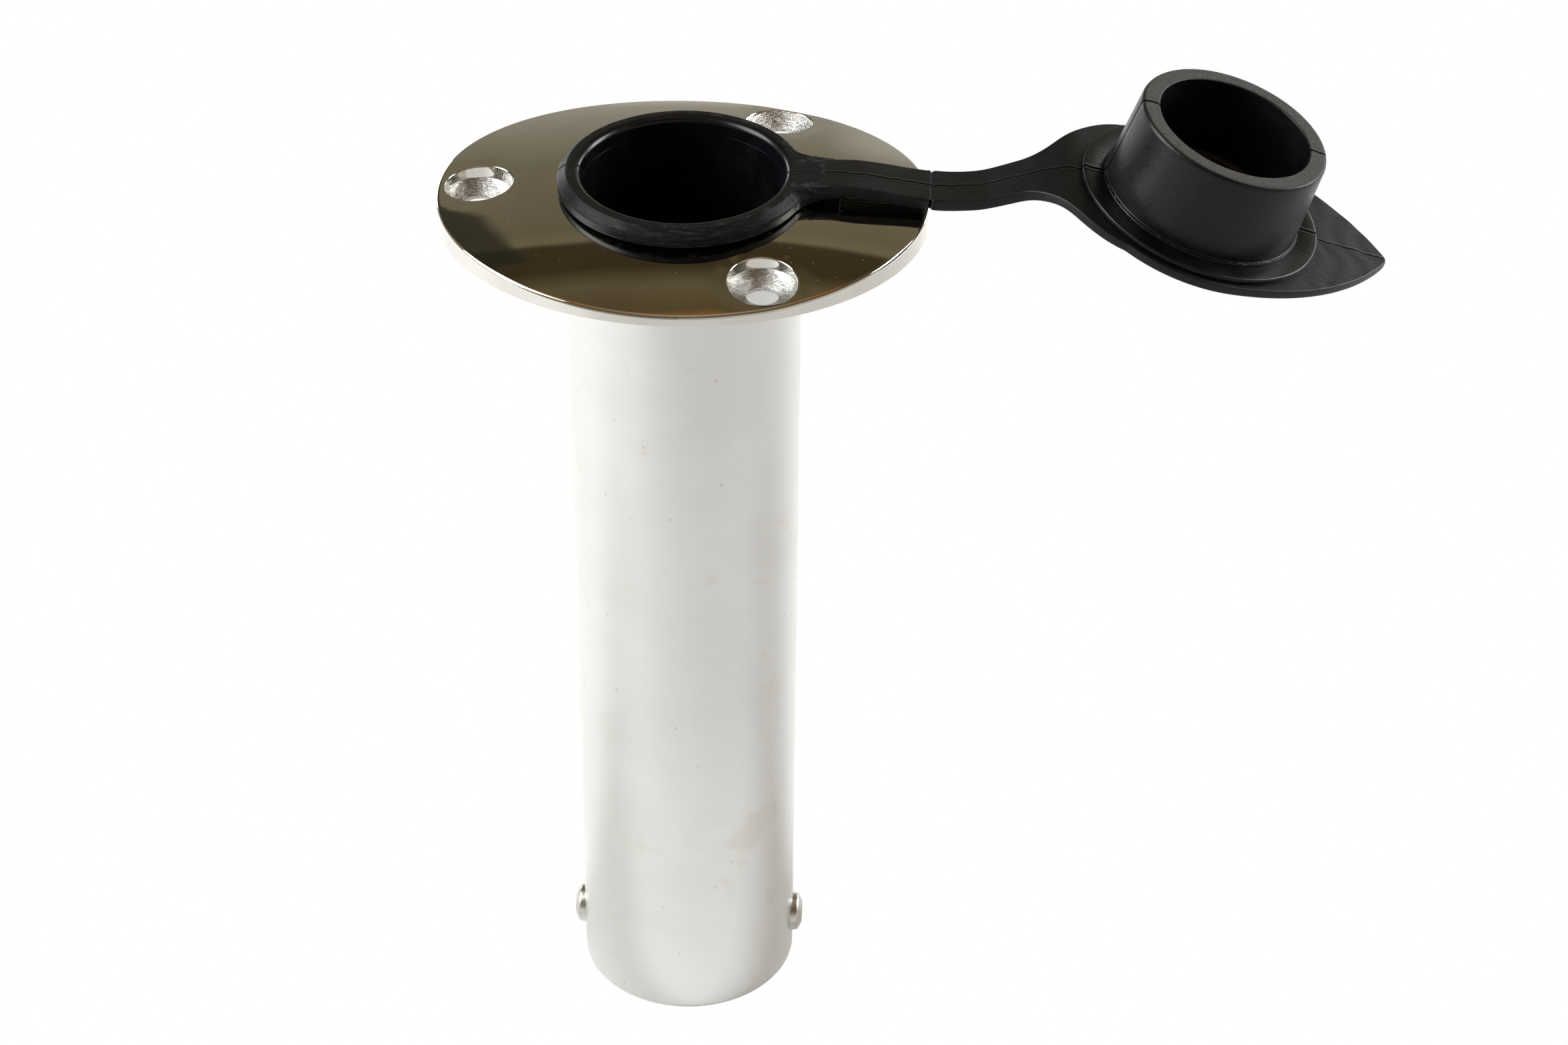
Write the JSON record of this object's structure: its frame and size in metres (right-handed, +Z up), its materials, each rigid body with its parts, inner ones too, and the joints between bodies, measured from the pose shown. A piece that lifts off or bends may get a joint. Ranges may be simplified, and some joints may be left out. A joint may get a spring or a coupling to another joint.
{
  "type": "fishing rod holder",
  "caption": "Flush-mount fishing rod holder: upright steel tube with cross pin, domed oval flange with countersunk screw holes, rubber liner and strapped plug cap.",
  "frame": {"origin": "on the tube's axis, in the plane of the flange's underside, where the flange meets the deck", "axes": "+Z up along the tube's axis, out of the rod bore; +X along the flange's long axis, towards the strap and its cap; +Y across"},
  "size_m": [0.202, 0.0906, 0.2391],
  "materials": {
    "polished_steel": "mirror polished stainless steel",
    "brushed_steel": "satin stainless tube, brushed lengthwise",
    "pin_steel": "stainless pin and weld metal, lightly polished",
    "rubber": "moulded black rubber, satin with fine grain and mould lines"
  },
  "bodies": {
    "holder": {"flange": "polished_steel", "tube": "brushed_steel", "flange_weld": "pin_steel", "cross_pin": "pin_steel", "pin_head_left": "pin_steel", "pin_head_right": "pin_steel", "liner_sleeve": "rubber", "liner_lip": "rubber", "strap_inner": "rubber"},
    "strap_link": {"strap_link": "rubber"},
    "cap": {"strap_outer": "rubber", "cap_plate": "rubber", "cap_tab": "rubber", "cap_collar": "rubber", "cap_plug": "rubber"}
  },
  "joints": [
    {"name": "strap_fold", "type": "hinge", "parent": "holder", "child": "strap_link", "pos_m": [0.048, 0, 0.0095], "axis": [0, -1, 0], "range_deg": [0, 102], "stiffness_Nm_per_rad": 0.03},
    {"name": "cap_fold", "type": "hinge", "parent": "strap_link", "child": "cap", "pos_m": [0.06245, 0, 0.00925], "axis": [-0.0319, -0.9989, -0.0349], "range_deg": [0, 95.26], "stiffness_Nm_per_rad": 0.03}
  ]
}
